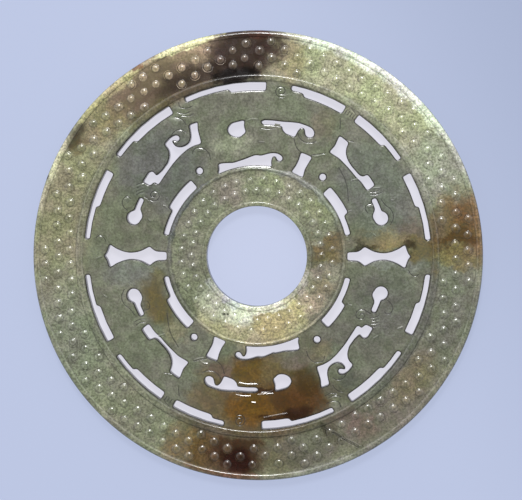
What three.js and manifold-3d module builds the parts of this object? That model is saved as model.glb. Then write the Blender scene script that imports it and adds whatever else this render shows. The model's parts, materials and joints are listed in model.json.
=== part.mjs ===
// A pierced jade bi disc, lying flat with its carved face up. Millimetres, +Z up.
// The origin is at the middle of the underside, +X runs to the right of the face and +Y to its top.
//
// From the bore outwards the one piece of jade has a plain collar, a band of raised grains, a narrow
// border, an openwork ring, a wider border, a second band of grains and a plain rim. The openwork is
// one long two-headed beast, drawn on half of the ring and repeated on the other half.
import * as THREE from "three";
import { mergeGeometries, mergeVertices } from "three/addons/utils/BufferGeometryUtils.js";
import Module from "manifold-3d";

const wasm = await Module();
wasm.setup();

// The disc
const discDiameter = 150;
const boreDiameter = 33.4;
const discThickness = 5;
const rimChamfer = 0.9;
const boreChamfer = 0.4;

// Widths of the rings, across the radius
const collarWidth = 1.9;
const innerGrainWidth = 9.9;
const innerBorderWidth = 1.5;
const outerBorderWidth = 2.8;
const outerGrainWidth = 11.9;
const rimWidth = 2.3;

// Depths below the plain borders, the same on both faces
const groundDepth = 0.55;
const openworkDepth = 0.4;
const borderSlope = 0.25; // how far a border's side leans, across the radius

// The grains are low points. The outer band's stand on a staggered grid, the inner band's in two rows.
const grainRadius = 1.7;
const grainHeight = 0.5;
const grainSides = 5;
const grainRoot = 0.2; // how deep a grain reaches into the ground
const grainMargin = 1.3; // least way from a grain's middle to the edge of its band
const gridColumnPitch = 4.28;
const gridRowPitch = 5.2;
const gridTurn = 1; // degrees
const gridShift = [-2.5, -1.9]; // of the grid's own zero from the middle of the disc
const innerRows = [{ fromCollar: 3, start: 0 }, { fromCollar: 6.6, start: 5 }]; // millimetres, degrees
const innerRowCount = 36;
const innerGrainSize = 0.86; // of the outer band's grains

// How finely curves are cut
const outerSegments = 72;
const innerSegments = 48;
const arcStep = 6; // degrees
const drillSides = 10;

// What follows from them
const discRadius = discDiameter / 2;
const boreRadius = boreDiameter / 2;
const collarOuter = boreRadius + collarWidth;
const innerBandOuter = collarOuter + innerGrainWidth;
const openworkInner = innerBandOuter + innerBorderWidth;
const rimInner = discRadius - rimWidth;
const outerBandInner = rimInner - outerGrainWidth;
const openworkOuter = outerBandInner - outerBorderWidth;
const openworkWidth = openworkOuter - openworkInner;
const groundLevel = discThickness - groundDepth;
const openworkLevel = discThickness - openworkDepth;
const discMiddle = new THREE.Vector2(0, 0);
const degree = Math.PI / 180;

// The openwork is laid out in degrees round the disc, from the right-hand head to the left-hand one,
// and in per cent of the way from the inner border to the outer one.
// The lower half was marked out by hand a little further round: most at its middle, nothing at the heads.
const lowerHalfLag = 2.5;

// Long slots along a border: [wide end, step, narrow end] in degrees, on the upper and the lower half.
const outerSlots = [
  { upper: [28.6, 17.6, 5.6], lower: [29.8, 17.8, 6.4] },
  { upper: [54.2, 41.9, 34.3], lower: [56.0, 43.2, 35.6] },
  { upper: [59.3, 73.5, 78.3], lower: [60.8, 74.0, 78.8] },
  { upper: [86.9, 99.0, 114.6], lower: [91.7, 101.2, 116.5] },
  { upper: [120.4, 136.2, 144.2], lower: [123.2, 138.0, 146.4] },
  { upper: [150.2, 162.4, 174.2], lower: [153.2, 163.7, 174.0] },
];
const innerSlots = [
  { upper: [43.4, 25.8, 13.3], lower: [46.0, 26.0, 12.8] },
  { upper: [131.0, 151.0, 166.9], lower: [135.0, 151.0, 166.6] },
];
const stepTurn = 0.6; // degrees round the ring that a step takes
const outerSlotClearance = 0.06; // from the border
const outerSlotWide = 2.8;
const outerSlotNarrow = 1.65;
const innerSlotClearance = 0.25;
const innerSlotWide = 3.3;
const innerSlotNarrow = 1.7;

// Drilled holes of the upper half, as [degrees, per cent]
const eyeRadius = 1.22;
const eyes = [[50.3, 15.2], [123.9, 15.0]];
const mouthRadius = 2.35;
const mouths = [[17.05, 47.3], [162.8, 46.6]];

// Free cuts of the upper half, as [degrees, per cent]. Sides between two points follow the ring.
const freeCuts = {
  // Saw cuts that lead out of the mouths, filed wider at their roots
  rightMouth: [[17.3, 50.2], [26.3, 50.2], [26.3, 44.3], [21.6, 44.3], [19.5, 38.6], [17.3, 38.6]],
  leftMouth: [[162.6, 48.9], [153.4, 48.9], [153.4, 43.2], [158.2, 43.2], [160.4, 37.6], [162.6, 37.6]],
  // A forked cut behind the right-hand head: a square hole, a saw cut and a flare
  rightFork: [
    [55.6, 66.4], [51.0, 66.1], [50.6, 60.0], [49.2, 54.0], [46.8, 50.0], [43.8, 47.9], [38.2, 48.0],
    [36.8, 50.4], [36.5, 56.4], [31.2, 56.4], [30.8, 45.4], [35.6, 45.2], [38.2, 43.6], [44.7, 44.1],
    [50.0, 45.0], [55.2, 43.6], [54.7, 53.6],
  ],
  // The same behind the left-hand head, where the flare curls into a hook
  leftFork: [
    [117.3, 68.2], [113.9, 67.1], [115.1, 58.6], [116.2, 42.5], [119.6, 44.2], [123.0, 44.6], [127.2, 43.6],
    [133.3, 41.1], [139.0, 38.9], [144.2, 37.9], [144.5, 41.4], [143.9, 43.9], [146.7, 45.4], [147.0, 55.0],
    [142.2, 55.7], [140.8, 52.5], [141.5, 46.1], [138.2, 44.8], [133.9, 46.1], [131.0, 50.7], [129.5, 57.1],
    [129.7, 65.4], [126.4, 67.4], [124.1, 66.8], [122.9, 62.9], [123.4, 58.9], [124.6, 58.6], [125.4, 61.8],
    [126.1, 64.3], [126.7, 61.8], [126.6, 55.0], [125.2, 50.7], [122.6, 48.9], [120.3, 50.4], [118.8, 55.0],
    [117.9, 62.1],
  ],
  // The bar between the two scrolls of the body
  scrollBar: [
    [66.9, 26.8], [60.9, 27.5], [61.1, 17.9], [61.2, 10.7], [59.8, 1.1], [67.7, 1.1], [66.6, 9.6],
    [66.4, 17.9],
  ],
  // A saw cut that runs from a block into the drilled middle of a scroll
  scrollCut: [
    [88.3, 52.9], [87.0, 54.8], [79.0, 55.5], [72.4, 58.6], [69.0, 58.7], [66.4, 58.2], [64.9, 54.3],
    [64.7, 50.0], [66.0, 46.8], [67.8, 47.1], [68.9, 51.1], [69.3, 54.8], [70.7, 55.4], [71.8, 50.7],
    [72.4, 41.4], [76.8, 42.7], [78.5, 46.1], [79.0, 50.4], [87.3, 49.6],
  ],
  // The hole in front of the left-hand scroll
  crescent: [
    [95.1, 55.2], [95.8, 48.2], [95.0, 41.1], [98.0, 35.9], [100.7, 37.2], [102.8, 41.8], [103.1, 47.9],
    [101.0, 53.6],
  ],
  // The long belly cut beside the inner border, with a small hook at one end
  bellyCut: [
    [115.3, 1.1], [113.3, 5.7], [112.8, 11.4], [110.6, 10.7], [104.1, 7.1], [97.5, 8.9], [90.0, 13.6],
    [88.3, 11.8], [81.8, 16.8], [78.4, 17.5], [75.4, 15.0], [74.9, 11.8], [76.2, 8.6], [78.2, 8.9],
    [78.9, 12.9], [80.2, 14.6], [81.3, 11.8], [81.5, 4.3], [80.2, 1.1],
  ],
};

// The lower half's belly cut is sawn deeper at its wide end
const lowerCuts = {
  bellyEnd: [
    [113.1, 7.0], [112.4, 15.0], [110.6, 14.2], [104.1, 10.3], [97.5, 10.2], [97.5, 5.0], [104.1, 4.0],
    [112.0, 5.0],
  ],
};

// One side of the gap between two heads, snout to snout: [degrees from its middle, per cent]
const headGapSide = [
  [0, 76.1], [0.6, 72.9], [2.8, 70.4], [4.6, 69.3], [3.1, 62.1], [2.0, 53.9], [1.4, 45.7], [1.6, 38.9],
  [2.3, 31.8], [3.7, 26.1], [5.1, 21.4], [3.6, 17.5], [2.5, 12.9], [2.5, 0.7],
];

// [degrees, per cent] of the openwork as [degrees, radius]
const openworkPlace = ([angle, percent]) => [angle, openworkInner + (openworkWidth * percent) / 100];

const ringPoint = ([angle, radius]) =>
  new THREE.Vector2(radius * Math.cos(angle * degree), radius * Math.sin(angle * degree));

// A closed outline of [degrees, radius] corners; its sides follow the ring from corner to corner
const ringOutline = (corners) =>
  corners.flatMap(([angle, radius], i) => {
    const [nextAngle, nextRadius] = corners[(i + 1) % corners.length];
    const steps = Math.max(1, Math.ceil(Math.abs(nextAngle - angle) / arcStep));
    return Array.from({ length: steps }, (_, k) => {
      const share = k / steps;
      return ringPoint([angle + (nextAngle - angle) * share, radius + (nextRadius - radius) * share]);
    });
  });

const drillOutline = (place, radius) => {
  const centre = ringPoint(openworkPlace(place));
  return Array.from({ length: drillSides }, (_, k) => {
    const turn = (2 * Math.PI * k) / drillSides;
    return new THREE.Vector2(centre.x + radius * Math.cos(turn), centre.y + radius * Math.sin(turn));
  });
};

// The slots along the outer border lie inside it, those along the inner border outside it
const alongOuterBorder = {
  radiusAt: (away) => openworkOuter - outerSlotClearance - away,
  wide: outerSlotWide,
  narrow: outerSlotNarrow,
};
const alongInnerBorder = {
  radiusAt: (away) => openworkInner + innerSlotClearance + away,
  wide: innerSlotWide,
  narrow: innerSlotNarrow,
};

const slotOutline = ([wideEnd, step, narrowEnd], { radiusAt, wide, narrow }) => {
  const stepEnd = step + stepTurn * Math.sign(narrowEnd - wideEnd);
  return ringOutline(
    [
      [wideEnd, radiusAt(0)], [wideEnd, radiusAt(wide)], [step, radiusAt(wide)],
      [stepEnd, radiusAt(narrow)], [narrowEnd, radiusAt(narrow)], [narrowEnd, radiusAt(0)],
    ],
  );
};

// A closed solid from a three.js geometry
const solidOf = (geometry) => {
  const bare = geometry.index ? geometry.toNonIndexed() : geometry.clone();
  bare.deleteAttribute("normal");
  bare.deleteAttribute("uv");
  const merged = mergeVertices(bare, 1e-4);
  return new wasm.Manifold(
    new wasm.Mesh({
      numProp: 3,
      vertProperties: new Float32Array(merged.attributes.position.array),
      triVerts: new Uint32Array(merged.index.array),
    }),
  );
};

const geometryOf = (solid) => {
  const { vertProperties, triVerts } = solid.getMesh();
  const geometry = new THREE.BufferGeometry();
  geometry.setAttribute("position", new THREE.BufferAttribute(new Float32Array(vertProperties), 3));
  geometry.setIndex(new THREE.BufferAttribute(new Uint32Array(triVerts), 1));
  geometry.computeVertexNormals();
  return geometry;
};

// A ring turned about the disc's axis from the profile of its upper face, the lower face being the same
const turnedRing = (upperFace, segments) => {
  const lowerFace = upperFace.map(([radius, z]) => [radius, discThickness - z]);
  const loop = [...lowerFace, ...[...upperFace].reverse(), lowerFace[0]];
  const points = loop.map(([radius, z]) => new THREE.Vector2(radius, z));
  return solidOf(new THREE.LatheGeometry(points, segments).rotateX(Math.PI / 2));
};

const innerRing = () =>
  turnedRing(
    [
      [boreRadius, discThickness - boreChamfer],
      [boreRadius + boreChamfer, discThickness],
      [collarOuter - borderSlope, discThickness],
      [collarOuter, groundLevel],
      [innerBandOuter, groundLevel],
      [innerBandOuter + borderSlope, discThickness],
      [openworkInner - borderSlope, discThickness],
      [openworkInner, openworkLevel - borderSlope],
    ],
    innerSegments,
  );

const outerRing = () =>
  turnedRing(
    [
      [openworkInner - innerBorderWidth / 2, openworkLevel],
      [openworkOuter, openworkLevel],
      [openworkOuter + borderSlope, discThickness],
      [outerBandInner - borderSlope, discThickness],
      [outerBandInner, groundLevel],
      [rimInner, groundLevel],
      [rimInner + borderSlope, discThickness],
      [discRadius - rimChamfer, discThickness],
      [discRadius, discThickness - rimChamfer],
    ],
    outerSegments,
  );

// A cutter that goes right through the disc
const throughCut = (outline) => {
  const cutter = new THREE.ExtrudeGeometry(new THREE.Shape(outline), {
    depth: discThickness * 2,
    bevelEnabled: false,
  });
  return solidOf(cutter.translate(0, 0, -discThickness / 2));
};

const upperPlace = ([angle, percent]) => [angle, percent];
const lowerPlace = ([angle, percent]) => [angle + 180 + lowerHalfLag * Math.sin(angle * degree), percent];

const cutOutlines = (cuts, place) =>
  Object.values(cuts).map((corners) => ringOutline(corners.map(place).map(openworkPlace)));

const halfOutlines = (half, place) => {
  const turn = half === "upper" ? 0 : 180;
  const turned = (slot) => slot[half].map((angle) => angle + turn);
  return [
    ...outerSlots.map((slot) => slotOutline(turned(slot), alongOuterBorder)),
    ...innerSlots.map((slot) => slotOutline(turned(slot), alongInnerBorder)),
    ...eyes.map((eye) => drillOutline(place(eye), eyeRadius)),
    ...mouths.map((mouth) => drillOutline(place(mouth), mouthRadius)),
    ...cutOutlines(freeCuts, place),
  ];
};

// The gap between two heads, closed by the mirror image of its one side
const headGapOutline = (middle) => {
  const oneSide = headGapSide.map(([offset, percent]) => [middle + offset, percent]);
  const otherSide = headGapSide.slice(1).map(([offset, percent]) => [middle - offset, percent]);
  return ringOutline([...oneSide, ...otherSide.reverse()].map(openworkPlace));
};

const openings = () =>
  wasm.Manifold.union(
    [
      ...halfOutlines("upper", upperPlace),
      ...halfOutlines("lower", lowerPlace),
      ...cutOutlines(lowerCuts, lowerPlace),
      headGapOutline(0),
      headGapOutline(180),
    ].map(throughCut),
  );

// The grid points that lie inside a band
const gridPoints = (bandInner, bandOuter) => {
  const reach = Math.ceil(discDiameter / gridColumnPitch / 2);
  const steps = Array.from({ length: 2 * reach + 1 }, (_, i) => i - reach);
  return steps
    .flatMap((column) =>
      steps.map((row) => {
        const stagger = column % 2 === 0 ? 0 : 1 / 2;
        const point = new THREE.Vector2(column * gridColumnPitch, (row + stagger) * gridRowPitch);
        return point.add(new THREE.Vector2(...gridShift)).rotateAround(discMiddle, gridTurn * degree);
      }),
    )
    .filter((point) => point.length() > bandInner + grainMargin && point.length() < bandOuter - grainMargin);
};

const rowPoints = ({ fromCollar, start }) =>
  Array.from({ length: innerRowCount }, (_, k) =>
    ringPoint([start + (360 / innerRowCount) * k, collarOuter + fromCollar]),
  );

const grainAt = (point, size) => {
  const height = grainHeight * size + grainRoot;
  return new THREE.ConeGeometry(grainRadius * size, height, grainSides)
    .rotateX(Math.PI / 2)
    .translate(point.x, point.y, groundLevel - grainRoot + height / 2);
};

const grains = () => {
  const outer = gridPoints(outerBandInner, rimInner).map((point) => grainAt(point, 1));
  const inner = innerRows.flatMap(rowPoints).map((point) => grainAt(point, innerGrainSize));
  return solidOf(mergeGeometries([...inner, ...outer]));
};

const jade = new THREE.MeshStandardMaterial({ color: 0x8a8d6c, roughness: 0.32, metalness: 0 });

const disc = new THREE.Mesh(
  geometryOf(outerRing().add(innerRing()).subtract(openings()).add(grains())),
  jade,
);
disc.name = "jade_bi_disc";

const part = new THREE.Group();
part.add(disc);

export default part;
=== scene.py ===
# A pierced jade bi disc lying on a pale lit table, seen from above.
import bpy
import json
import math
import random
from mathutils import Matrix, Vector

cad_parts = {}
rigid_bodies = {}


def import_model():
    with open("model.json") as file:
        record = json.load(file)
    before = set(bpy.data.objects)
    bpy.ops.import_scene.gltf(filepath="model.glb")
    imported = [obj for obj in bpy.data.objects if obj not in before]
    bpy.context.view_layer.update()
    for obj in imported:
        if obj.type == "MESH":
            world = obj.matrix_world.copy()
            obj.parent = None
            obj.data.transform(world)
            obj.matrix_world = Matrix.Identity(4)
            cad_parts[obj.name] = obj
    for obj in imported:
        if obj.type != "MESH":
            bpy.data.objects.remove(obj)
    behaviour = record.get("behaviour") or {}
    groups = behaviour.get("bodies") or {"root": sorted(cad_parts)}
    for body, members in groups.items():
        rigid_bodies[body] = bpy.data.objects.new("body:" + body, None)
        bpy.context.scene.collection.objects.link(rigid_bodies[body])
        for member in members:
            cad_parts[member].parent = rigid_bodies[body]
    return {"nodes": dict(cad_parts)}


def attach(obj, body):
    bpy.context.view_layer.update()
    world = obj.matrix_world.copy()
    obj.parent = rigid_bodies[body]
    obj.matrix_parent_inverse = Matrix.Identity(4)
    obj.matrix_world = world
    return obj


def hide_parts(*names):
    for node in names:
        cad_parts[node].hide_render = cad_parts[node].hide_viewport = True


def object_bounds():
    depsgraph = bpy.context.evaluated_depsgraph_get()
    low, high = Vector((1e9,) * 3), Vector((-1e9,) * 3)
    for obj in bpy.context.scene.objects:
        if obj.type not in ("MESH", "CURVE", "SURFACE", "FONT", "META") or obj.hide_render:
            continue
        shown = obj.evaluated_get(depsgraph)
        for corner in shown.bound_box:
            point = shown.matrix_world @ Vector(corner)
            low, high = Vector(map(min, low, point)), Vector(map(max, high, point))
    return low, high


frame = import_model()
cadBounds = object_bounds()
print("frame loaded")

mm = 0.001  # the piece is worked in millimetres and brought to metres at the end

# The disc's size comes from the frame, its rings from the bore outwards
disc = {
    "radius": cadBounds[1][0] / mm,
    "thickness": cadBounds[1][2] / mm,
    "boreRadius": 16.7,
    "collarWidth": 1.9,
    "innerGrainWidth": 9.9,
    "innerBorderWidth": 1.5,
    "outerBorderWidth": 2.8,
    "outerGrainWidth": 11.9,
    "rimWidth": 2.3,
    "rimRounding": 1.1,
    "boreRounding": 0.45,
    "groundDepth": 0.55,
    "openworkDepth": 0.4,
    "borderSlope": 0.5,
    "borderRounding": 0.4,
    "cornerSteps": 4,
    "borderSteps": 3,
    "clearOfCorner": 1.3,  # an edge this many roundings away from the corner of the rim or bore is a border
    "overlap": 1.35,  # how far the openwork reaches into the rings that hold it
    "turnSteps": 240,
    "sharpAngle": 38,  # degrees from which an edge is shaded sharp
}
disc["collarOuter"] = disc["boreRadius"] + disc["collarWidth"]
disc["innerBandOuter"] = disc["collarOuter"] + disc["innerGrainWidth"]
disc["openworkInner"] = disc["innerBandOuter"] + disc["innerBorderWidth"]
disc["rimInner"] = disc["radius"] - disc["rimWidth"]
disc["outerBandInner"] = disc["rimInner"] - disc["outerGrainWidth"]
disc["openworkOuter"] = disc["outerBandInner"] - disc["outerBorderWidth"]
disc["groundLevel"] = disc["thickness"] - disc["groundDepth"]
disc["openworkLevel"] = disc["thickness"] - disc["openworkDepth"]


def ringPoint(angle, radius):
    return Vector((radius * math.cos(math.radians(angle)), radius * math.sin(math.radians(angle)), 0))


def deselectAll():
    if bpy.context.object and bpy.context.object.mode != "OBJECT":
        bpy.ops.object.mode_set(mode="OBJECT")
    bpy.ops.object.select_all(action="DESELECT")


def pickOnly(piece):
    deselectAll()
    piece.select_set(True)
    bpy.context.view_layer.objects.active = piece


def editAll(piece):
    pickOnly(piece)
    bpy.ops.object.mode_set(mode="EDIT")
    bpy.ops.mesh.select_all(action="SELECT")


def selectParts(piece, kind, wanted):
    # kind is "vertices" or "edges"; wanted tests each one
    editAll(piece)
    bpy.ops.mesh.select_mode(type={"vertices": "VERT", "edges": "EDGE"}[kind])
    bpy.ops.mesh.select_all(action="DESELECT")
    bpy.ops.object.mode_set(mode="OBJECT")
    for part in getattr(piece.data, kind):
        part.select = wanted(part)
    bpy.ops.object.mode_set(mode="EDIT")


def closeMesh(piece, gap=0.002):
    editAll(piece)
    bpy.ops.mesh.remove_doubles(threshold=gap)
    bpy.ops.mesh.normals_make_consistent(inside=False)
    bpy.ops.object.mode_set(mode="OBJECT")


def combine(piece, other, operation):
    pickOnly(piece)
    join = piece.modifiers.new(operation, "BOOLEAN")
    join.operation = operation
    join.object = other
    join.solver = "MANIFOLD"
    bpy.ops.object.modifier_apply(modifier=join.name)
    bpy.data.objects.remove(other)


def joinAll(pieces, name):
    pickOnly(pieces[0])
    for piece in pieces[1:]:
        piece.select_set(True)
    bpy.ops.object.join()
    joined = bpy.context.object
    joined.name = name
    return joined


def extrudeProfile(name, profile, steps, fill="NOTHING"):
    # a circle at the profile's first place is drawn out and widened from place to place
    deselectAll()
    radius, height = profile[0]
    bpy.ops.mesh.primitive_circle_add(vertices=steps, radius=radius, fill_type=fill, location=(0, 0, height))
    piece = bpy.context.object
    piece.name = name
    bpy.ops.object.transform_apply(location=True)
    editAll(piece)
    for nextRadius, nextHeight in profile[1:]:
        bpy.ops.mesh.extrude_region_move(TRANSFORM_OT_translate={"value": (0, 0, nextHeight - height)})
        grow = nextRadius / radius
        bpy.ops.transform.resize(value=(grow, grow, 1), center_override=(0, 0, 0))
        radius, height = nextRadius, nextHeight
    return piece


def turnSolid(name, profile):
    # a ring with the given section, which closes on its first place
    piece = extrudeProfile(name, profile + profile[:1], disc["turnSteps"])
    closeMesh(piece, gap=0.001)
    return piece


def bothFaces(upperFace):
    # the lower face is the same as the upper one, so the profile is closed by its mirror image
    lowerFace = [(radius, disc["thickness"] - height) for radius, height in upperFace]
    return lowerFace + upperFace[::-1]


def makeRings():
    top, slope, ground = disc["thickness"], disc["borderSlope"], disc["groundLevel"]
    hidden = disc["openworkLevel"] - slope
    inner = turnSolid("innerRing", bothFaces([
        (disc["boreRadius"], top),
        (disc["collarOuter"] - slope, top),
        (disc["collarOuter"], ground),
        (disc["innerBandOuter"], ground),
        (disc["innerBandOuter"] + slope, top),
        (disc["openworkInner"] - slope, top),
        (disc["openworkInner"], hidden),
    ]))
    outer = turnSolid("outerRing", bothFaces([
        (disc["openworkOuter"], hidden),
        (disc["openworkOuter"] + slope, top),
        (disc["outerBandInner"] - slope, top),
        (disc["outerBandInner"], ground),
        (disc["rimInner"], ground),
        (disc["rimInner"] + slope, top),
        (disc["radius"], top),
    ]))
    near = 0.01
    for ring, cornerRadius, rounding in ((inner, disc["boreRadius"], disc["boreRounding"]),
                                         (outer, disc["radius"], disc["rimRounding"])):
        softenCorner(ring, lambda radius, height: abs(radius - cornerRadius) < near, rounding, disc["cornerSteps"])
        softenCorner(ring, lambda radius, height: abs(radius - cornerRadius) > disc["clearOfCorner"] * rounding
                     and min(height, top - height) < near, disc["borderRounding"], disc["borderSteps"])
    return inner, outer


def softenCorner(ring, wanted, rounding, segments):
    # rounds the edges that run round the axis where wanted(radius, height) is true
    spots = [Vector(v.co) for v in ring.data.vertices]
    near = 0.001

    def runsRound(edge):
        a, b = (spots[i] for i in edge.vertices)
        level = abs(a.z - b.z) < near and abs(a.xy.length - b.xy.length) < near
        return level and wanted(a.xy.length, a.z)

    selectParts(ring, "edges", runsRound)
    bpy.ops.mesh.bevel(offset=rounding, segments=segments, profile=0.5, affect="EDGES", clamp_overlap=True)
    bpy.ops.object.mode_set(mode="OBJECT")


# The openwork plate has the outlines of the solid at half its height
openwork = {
    "pointSpacing": 0.6,
    "cornerSmoothing": 3,
    "wornWidth": 0.6,
    "wornDepth": 0.4,
    "wornSteps": 1,
    "circleSteps": 48,
}


def makeOpenworkPlate():
    deselectAll()
    node = frame["nodes"]["jade_bi_disc"]
    pickOnly(node)
    bpy.ops.object.duplicate()
    outline = bpy.context.object
    outline.name = "openworkOutline"
    for tag in list(outline.keys()):  # so that the copy doesn't pass for the CAD node
        del outline[tag]
    bpy.ops.object.parent_clear(type="CLEAR_KEEP_TRANSFORM")
    bpy.ops.transform.resize(value=(1 / mm, 1 / mm, 1 / mm), center_override=(0, 0, 0))
    bpy.ops.object.transform_apply(location=True, rotation=True, scale=True)
    closeMesh(outline)
    editAll(outline)
    halfWay = (0, 0, disc["thickness"] / 2)
    bpy.ops.mesh.bisect(plane_co=halfWay, plane_no=(0, 0, 1), clear_inner=True, clear_outer=True)
    bpy.ops.object.mode_set(mode="OBJECT")
    selectParts(outline, "vertices", lambda v: not disc["openworkInner"] < v.co.xy.length < disc["openworkOuter"])
    bpy.ops.mesh.delete(type="VERT")
    bpy.ops.object.mode_set(mode="OBJECT")

    def isLong(edge):
        a, b = (outline.data.vertices[i].co for i in edge.vertices)
        return (a - b).length > openwork["pointSpacing"]

    while any(isLong(edge) for edge in outline.data.edges):
        selectParts(outline, "edges", isLong)
        bpy.ops.mesh.subdivide(number_cuts=1)
        bpy.ops.object.mode_set(mode="OBJECT")
    editAll(outline)
    bpy.ops.mesh.vertices_smooth(factor=0.5, repeat=openwork["cornerSmoothing"])
    bpy.ops.transform.translate(value=(0, 0, -disc["thickness"] / 2))
    bpy.ops.object.mode_set(mode="OBJECT")
    bpy.ops.object.convert(target="CURVE")
    plate = bpy.context.object
    plate.name = "openworkPlate"
    bpy.ops.object.mode_set(mode="EDIT")
    for radius in (disc["openworkInner"] - disc["overlap"], disc["openworkOuter"] + disc["overlap"]):
        bpy.ops.curve.primitive_bezier_circle_add(radius=radius, location=(0, 0, 0))
    bpy.ops.object.mode_set(mode="OBJECT")
    shape = plate.data
    shape.resolution_u = openwork["circleSteps"]
    shape.dimensions = "2D"
    shape.fill_mode = "BOTH"
    shape.bevel_depth = openwork["wornWidth"]
    shape.bevel_resolution = openwork["wornSteps"]
    shape.offset = -openwork["wornWidth"]
    flatten = openwork["wornDepth"] / openwork["wornWidth"]
    shape.extrude = (disc["openworkLevel"] - disc["thickness"] / 2) / flatten - openwork["wornWidth"]
    bpy.ops.object.convert(target="MESH")
    bpy.ops.transform.resize(value=(1, 1, flatten), center_override=(0, 0, 0))
    bpy.ops.transform.translate(value=(0, 0, disc["thickness"] / 2))
    bpy.ops.object.transform_apply(location=True, rotation=True, scale=True)
    closeMesh(plate)
    return plate


# The grains: on a staggered grid ruled over the whole disc in the outer band, in two rows in the inner one
grain = {
    "profile": [(1.62, -0.2), (1.58, 0.0), (1.36, 0.13), (1.06, 0.27), (0.72, 0.38), (0.36, 0.445)],
    "tip": 0.02,
    "sides": 12,
    "margin": 1.3,
    "columnPitch": 4.28,
    "rowPitch": 5.2,
    "turn": math.radians(1),
    "shift": (-2.5, -1.9),
    "innerRows": ((21.6, 0), (25.2, 5)),  # radius and first angle in degrees
    "innerRowCount": 36,
    "innerSize": 0.86,
    "stray": 0.16,
    "sizeShare": 0.1,
    "seed": 7,
    "curlShare": 0.5,
    "curlRadius": 1.7,
    "curlWidth": 0.17,
    "curlSteps": (18, 6),  # along the curl and round it
    "curlTilt": math.radians(7),
    "curlSink": 0.05,
    "leastWorn": (95, 134),  # degrees between which the grains stand higher
    "leastWornRise": 1.12,
    "backProfile": [(1.55, -0.2), (1.5, 0.0), (1.1, 0.2), (0.5, 0.32)],
    "backSides": 8,
}


def rowPoints():
    step = 360 / grain["innerRowCount"]
    return [ringPoint(first + step * k, radius) for radius, first in grain["innerRows"]
            for k in range(grain["innerRowCount"])]


def gridPoints(bandInner, bandOuter):
    reach = math.ceil(disc["radius"] / grain["columnPitch"])
    points = []
    for column in range(-reach, reach + 1):
        for row in range(-reach, reach + 1):
            x = column * grain["columnPitch"] + grain["shift"][0]
            y = (row + (column % 2) / 2) * grain["rowPitch"] + grain["shift"][1]
            c, s = math.cos(grain["turn"]), math.sin(grain["turn"])
            point = Vector((c * x - s * y, s * x + c * y, 0))
            if bandInner + grain["margin"] < point.length < bandOuter - grain["margin"]:
                points.append(point)
    return points


def makeGrain(profile, sides):
    bead = extrudeProfile("grain", profile, sides, "NGON")
    bpy.ops.mesh.poke(offset=grain["tip"])
    closeMesh(bead)
    return bead


def makeCurl():
    # a thin ring round a grain, tilted so that only half of it stands out of the ground
    deselectAll()
    alongSteps, roundSteps = grain["curlSteps"]
    bpy.ops.mesh.primitive_torus_add(major_segments=alongSteps, minor_segments=roundSteps,
                                     major_radius=grain["curlRadius"], minor_radius=grain["curlWidth"])
    curl = bpy.context.object
    curl.name = "curl"
    bpy.ops.transform.rotate(value=grain["curlTilt"], orient_axis="X", center_override=(0, 0, 0))
    bpy.ops.transform.translate(value=(0, 0, -grain["curlSink"]))
    bpy.ops.object.transform_apply(location=True, rotation=True, scale=True)
    return curl


def spread(model, places, name):
    # one copy of the model for each (point, height, turn, width scale, height scale), joined into one piece
    copies = []
    for point, height, turn, size, rise in places:
        copy = model.copy()
        copy.data = model.data.copy()
        bpy.context.scene.collection.objects.link(copy)
        copy.location = (point.x, point.y, height)
        copy.rotation_euler = (0, 0, turn)
        copy.scale = (size, size, rise)
        copies.append(copy)
    joined = joinAll(copies, name)
    bpy.ops.object.transform_apply(location=True, rotation=True, scale=True)
    return joined


def makeGrains():
    chance = random.Random(grain["seed"])
    bead, curl = makeGrain(grain["profile"], grain["sides"]), makeCurl()
    backBead = makeGrain(grain["backProfile"], grain["backSides"])
    beads, curls = [], []
    inOuterBand = gridPoints(disc["outerBandInner"], disc["rimInner"])
    for point in rowPoints() + inOuterBand:
        stray = Vector((chance.gauss(0, grain["stray"]), chance.gauss(0, grain["stray"]), 0))
        size = 1 + chance.uniform(-1, 1) * grain["sizeShare"]
        size *= 1 if point in inOuterBand else grain["innerSize"]
        turn = chance.uniform(0, 2 * math.pi)
        place = point + stray
        low, high = grain["leastWorn"]
        rise = grain["leastWornRise"] if low < math.degrees(math.atan2(place.y, place.x)) < high else 1
        beads.append((place, disc["groundLevel"], turn, size, size * rise))
        if chance.random() < grain["curlShare"] and point in inOuterBand:
            curls.append((place, disc["groundLevel"], turn, 1, 1))
    front = spread(bead, beads, "grains")
    ridges = spread(curl, curls, "curls")
    back = spread(backBead, [(point, height, turn, 1, 1) for point, height, turn, _, _ in beads], "backGrains")
    pickOnly(back)
    bpy.ops.transform.rotate(value=math.pi, orient_axis="Y", center_override=(0, 0, disc["thickness"] / 2))
    for model in (bead, curl, backBead):
        bpy.data.objects.remove(model)
    return front, ridges, back


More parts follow.
